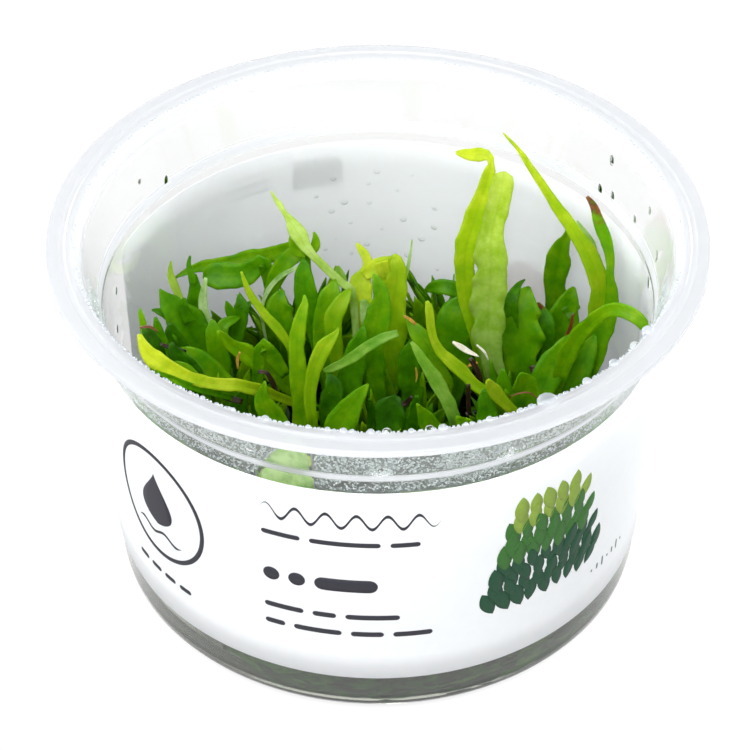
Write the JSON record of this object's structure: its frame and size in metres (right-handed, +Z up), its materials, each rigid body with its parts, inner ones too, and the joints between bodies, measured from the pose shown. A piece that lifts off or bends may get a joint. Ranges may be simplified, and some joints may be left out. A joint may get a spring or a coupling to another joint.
{
  "type": "tissue culture narrow leaf java fern",
  "caption": "Young narrow-leaved java fern plantlets on clear gel in a round, open, clear plastic culture cup with a flat lip and a wrapped label.",
  "frame": {"origin": "middle of the cup's foot, on the surface that it stands on", "axes": "+Z up out of the cup's mouth, -Y towards the front of the label"},
  "size_m": [0.1, 0.1, 0.061],
  "materials": {
    "cup_plastic": "clear, slightly milky polypropylene",
    "label_paper": "white coated label paper, satin",
    "gel": "clear wet jelly",
    "rhizome": "damp, brown, hairy",
    "small_leaves": "wet dark green leaf",
    "long_leaves": "wet bright green leaf"
  },
  "bodies": {
    "root": {"cup": "cup_plastic", "gel": "gel", "label": "label_paper", "leaf_back_left_1": "long_leaves", "leaf_back_left_2": "long_leaves", "leaf_back_left_3": "long_leaves", "leaf_back_left_4": "long_leaves", "leaf_back_right_1": "long_leaves", "leaf_back_right_2": "long_leaves", "leaf_back_right_3": "long_leaves", "leaf_back_right_4": "long_leaves", "leaf_front_left_1": "long_leaves", "leaf_front_left_2": "long_leaves", "leaf_front_left_3": "long_leaves", "leaf_front_left_4": "long_leaves", "leaf_front_right_1": "long_leaves", "leaf_front_right_2": "long_leaves", "leaf_front_right_3": "long_leaves", "leaf_front_right_4": "long_leaves", "leaf_left_1": "long_leaves", "leaf_left_2": "long_leaves", "leaf_left_3": "long_leaves", "leaf_left_4": "long_leaves", "leaf_left_5": "long_leaves", "leaf_left_6": "long_leaves", "leaf_left_7": "long_leaves", "leaf_left_8": "long_leaves", "leaf_middle_1": "long_leaves", "leaf_middle_10": "long_leaves", "leaf_middle_2": "long_leaves", "leaf_middle_3": "long_leaves", "leaf_middle_4": "long_leaves", "leaf_middle_5": "long_leaves", "leaf_middle_6": "long_leaves", "leaf_middle_7": "long_leaves", "leaf_middle_8": "long_leaves", "leaf_middle_9": "long_leaves", "leaf_right_1": "long_leaves", "leaf_right_10": "long_leaves", "leaf_right_11": "long_leaves", "leaf_right_2": "long_leaves", "leaf_right_3": "long_leaves", "leaf_right_4": "long_leaves", "leaf_right_5": "long_leaves", "leaf_right_6": "long_leaves", "leaf_right_7": "long_leaves", "leaf_right_8": "long_leaves", "leaf_right_9": "long_leaves", "plantlet_back_left": "small_leaves", "plantlet_back_right": "small_leaves", "plantlet_front_left": "small_leaves", "plantlet_front_right": "small_leaves", "plantlet_left": "small_leaves", "plantlet_middle": "small_leaves", "plantlet_right": "small_leaves", "rhizome_front": "rhizome", "rhizome_left": "rhizome", "rhizome_middle": "rhizome", "rhizome_right": "rhizome"}
  },
  "joints": []
}
